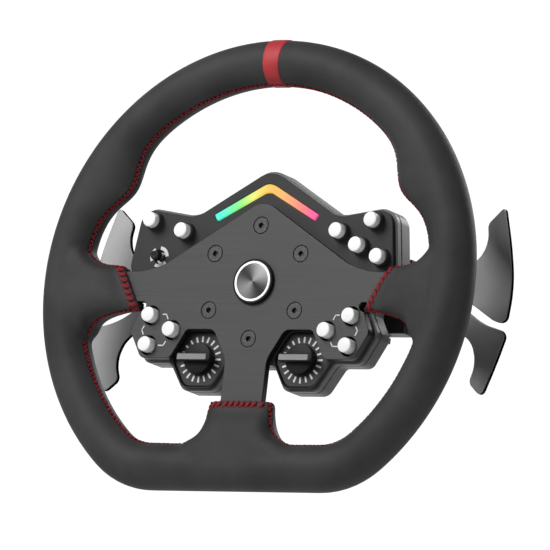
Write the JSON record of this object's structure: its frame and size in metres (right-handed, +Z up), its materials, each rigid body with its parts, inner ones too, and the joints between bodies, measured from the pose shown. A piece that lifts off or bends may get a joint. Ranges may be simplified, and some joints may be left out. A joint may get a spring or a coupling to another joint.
{
  "type": "racing wheel",
  "caption": "D-shaped leather steering wheel for a driving simulator, with a button box, dials, a light bar, shift and clutch paddles and a quick-release hub.",
  "frame": {"origin": "on the wheel's turning axis, on the floor of the quick-release socket, where the wheel base's shaft end seats", "axes": "+X to the driver's right, +Y forward away from the driver along the turning axis, +Z up"},
  "size_m": [0.3002, 0.1085, 0.2783],
  "materials": {
    "cover_leather": "matte, fine grain",
    "marker_leather": "matte",
    "rim_foam": "moulded foam",
    "brushed_plate": "brushed, anodised dark grey",
    "black_screw": "black oxide",
    "badge_black": "gloss",
    "badge_chrome": "polished ring, brushed disc",
    "panel_plastic": "fine texture",
    "housing_plastic": "fine texture",
    "dial_plastic": "fine texture",
    "knob_plastic": "soft matte",
    "button_white": "satin",
    "light_diffuser": "frosted",
    "board": "solder mask",
    "bare_metal": "turned",
    "paddle_metal": "brushed, anodised",
    "magnet": "nickel plated",
    "collar_black": "anodised",
    "contact_plastic": "moulded"
  },
  "bodies": {
    "wheel": {"leather_cover": "cover_leather", "marker_band": "marker_leather", "rim_foam": "rim_foam", "spoke_plate": "brushed_plate", "hub_screw_1": "black_screw", "hub_screw_2": "black_screw", "hub_screw_3": "black_screw", "hub_screw_4": "black_screw", "hub_screw_5": "black_screw", "hub_screw_6": "black_screw", "badge_holder": "badge_black", "badge_face": "badge_chrome", "front_panel": "panel_plastic", "rear_housing": "housing_plastic", "paddle_box_cover": "housing_plastic", "stick_base": "housing_plastic", "dial_face_left": "dial_plastic", "dial_face_right": "dial_plastic", "light_bar": "light_diffuser", "circuit_board": "board", "encoder_left": "bare_metal", "encoder_right": "bare_metal", "hub_flange": "bare_metal", "quick_release_hub": "bare_metal", "collar_stop_ring": "bare_metal", "collar_spring": "bare_metal", "paddle_pin_left": "bare_metal", "paddle_pin_right": "bare_metal", "paddle_box": "paddle_metal", "shift_magnet_left": "magnet", "shift_magnet_right": "magnet", "clutch_magnet_left": "magnet", "clutch_magnet_right": "magnet", "contact_block": "contact_plastic"},
    "button_upper_left_outer": {"button_upper_left_outer": "button_white"},
    "button_upper_left_inner": {"button_upper_left_inner": "button_white"},
    "button_upper_right_outer": {"button_upper_right_outer": "button_white"},
    "button_upper_right_inner": {"button_upper_right_inner": "button_white"},
    "button_upper_right_middle": {"button_upper_right_middle": "button_white"},
    "button_upper_right_lower": {"button_upper_right_lower": "button_white"},
    "button_lower_left_top": {"button_lower_left_top": "button_white"},
    "button_lower_left_inner": {"button_lower_left_inner": "button_white"},
    "button_lower_left_bottom": {"button_lower_left_bottom": "button_white"},
    "button_lower_right_top": {"button_lower_right_top": "button_white"},
    "button_lower_right_inner": {"button_lower_right_inner": "button_white"},
    "button_lower_right_bottom": {"button_lower_right_bottom": "button_white"},
    "stick_ring": {"stick_gimbal": "bare_metal"},
    "stick_rod": {"stick_shaft": "bare_metal"},
    "stick_top": {"stick_cap": "knob_plastic"},
    "knob_left": {"dial_knob_left": "knob_plastic"},
    "knob_right": {"dial_knob_right": "knob_plastic"},
    "shift_paddle_left": {"shift_carrier_left": "paddle_metal", "shift_blade_left": "paddle_metal"},
    "clutch_paddle_left": {"clutch_carrier_left": "paddle_metal", "clutch_blade_left": "paddle_metal"},
    "shift_paddle_right": {"shift_carrier_right": "paddle_metal", "shift_blade_right": "paddle_metal"},
    "clutch_paddle_right": {"clutch_carrier_right": "paddle_metal", "clutch_blade_right": "paddle_metal"},
    "collar": {"release_collar": "collar_black"}
  },
  "joints": [
    {"name": "upper_left_outer_press", "type": "slide", "parent": "wheel", "child": "button_upper_left_outer", "axis": [0, 1, 0], "range_m": [0, 0.0012], "stiffness_N_per_m": 900, "springref_m": -0.0008},
    {"name": "upper_left_inner_press", "type": "slide", "parent": "wheel", "child": "button_upper_left_inner", "axis": [0, 1, 0], "range_m": [0, 0.0012], "stiffness_N_per_m": 900, "springref_m": -0.0008},
    {"name": "upper_right_outer_press", "type": "slide", "parent": "wheel", "child": "button_upper_right_outer", "axis": [0, 1, 0], "range_m": [0, 0.0012], "stiffness_N_per_m": 900, "springref_m": -0.0008},
    {"name": "upper_right_inner_press", "type": "slide", "parent": "wheel", "child": "button_upper_right_inner", "axis": [0, 1, 0], "range_m": [0, 0.0012], "stiffness_N_per_m": 900, "springref_m": -0.0008},
    {"name": "upper_right_middle_press", "type": "slide", "parent": "wheel", "child": "button_upper_right_middle", "axis": [0, 1, 0], "range_m": [0, 0.0012], "stiffness_N_per_m": 900, "springref_m": -0.0008},
    {"name": "upper_right_lower_press", "type": "slide", "parent": "wheel", "child": "button_upper_right_lower", "axis": [0, 1, 0], "range_m": [0, 0.0012], "stiffness_N_per_m": 900, "springref_m": -0.0008},
    {"name": "lower_left_top_press", "type": "slide", "parent": "wheel", "child": "button_lower_left_top", "axis": [0, 1, 0], "range_m": [0, 0.0012], "stiffness_N_per_m": 900, "springref_m": -0.0008},
    {"name": "lower_left_inner_press", "type": "slide", "parent": "wheel", "child": "button_lower_left_inner", "axis": [0, 1, 0], "range_m": [0, 0.0012], "stiffness_N_per_m": 900, "springref_m": -0.0008},
    {"name": "lower_left_bottom_press", "type": "slide", "parent": "wheel", "child": "button_lower_left_bottom", "axis": [0, 1, 0], "range_m": [0, 0.0012], "stiffness_N_per_m": 900, "springref_m": -0.0008},
    {"name": "lower_right_top_press", "type": "slide", "parent": "wheel", "child": "button_lower_right_top", "axis": [0, 1, 0], "range_m": [0, 0.0012], "stiffness_N_per_m": 900, "springref_m": -0.0008},
    {"name": "lower_right_inner_press", "type": "slide", "parent": "wheel", "child": "button_lower_right_inner", "axis": [0, 1, 0], "range_m": [0, 0.0012], "stiffness_N_per_m": 900, "springref_m": -0.0008},
    {"name": "lower_right_bottom_press", "type": "slide", "parent": "wheel", "child": "button_lower_right_bottom", "axis": [0, 1, 0], "range_m": [0, 0.0012], "stiffness_N_per_m": 900, "springref_m": -0.0008},
    {"name": "stick_up_down", "type": "hinge", "parent": "wheel", "child": "stick_ring", "pos_m": [-0.073, -0.061, 0.0165], "axis": [1, 0, 0], "range_deg": [-8, 8], "stiffness_Nm_per_rad": 0.05},
    {"name": "stick_left_right", "type": "hinge", "parent": "stick_ring", "child": "stick_rod", "pos_m": [-0.073, -0.061, 0.0165], "axis": [0, 0, 1], "range_deg": [-8, 8], "stiffness_Nm_per_rad": 0.05},
    {"name": "stick_press", "type": "slide", "parent": "stick_rod", "child": "stick_top", "axis": [0, 1, 0], "range_m": [0, 0.0004], "stiffness_N_per_m": 1500, "springref_m": -0.0006},
    {"name": "dial_left_turn", "type": "hinge", "parent": "wheel", "child": "knob_left", "pos_m": [-0.036, -0.066, -0.0466], "axis": [0, 1, 0], "continuous": true},
    {"name": "dial_right_turn", "type": "hinge", "parent": "wheel", "child": "knob_right", "pos_m": [0.036, -0.066, -0.0466], "axis": [0, 1, 0], "continuous": true},
    {"name": "shift_left_pull", "type": "hinge", "parent": "wheel", "child": "shift_paddle_left", "pos_m": [-0.062, -0.023, 0.013], "axis": [0, 0, 1], "range_deg": [0, 6], "stiffness_Nm_per_rad": 2, "springref_deg": -11.46},
    {"name": "clutch_left_pull", "type": "hinge", "parent": "wheel", "child": "clutch_paddle_left", "pos_m": [-0.062, -0.023, -0.013], "axis": [0, 0, 1], "range_deg": [0, 15], "stiffness_Nm_per_rad": 0.9, "springref_deg": -11.46},
    {"name": "shift_right_pull", "type": "hinge", "parent": "wheel", "child": "shift_paddle_right", "pos_m": [0.062, -0.023, 0.013], "axis": [0, 0, -1], "range_deg": [0, 6], "stiffness_Nm_per_rad": 2, "springref_deg": -11.46},
    {"name": "clutch_right_pull", "type": "hinge", "parent": "wheel", "child": "clutch_paddle_right", "pos_m": [0.062, -0.023, -0.013], "axis": [0, 0, -1], "range_deg": [0, 15], "stiffness_Nm_per_rad": 0.9, "springref_deg": -11.46},
    {"name": "collar_pull", "type": "slide", "parent": "wheel", "child": "collar", "axis": [0, -1, 0], "range_m": [0, 0.005], "stiffness_N_per_m": 1500, "springref_m": -0.008, "deforming": ["collar_spring"]}
  ]
}
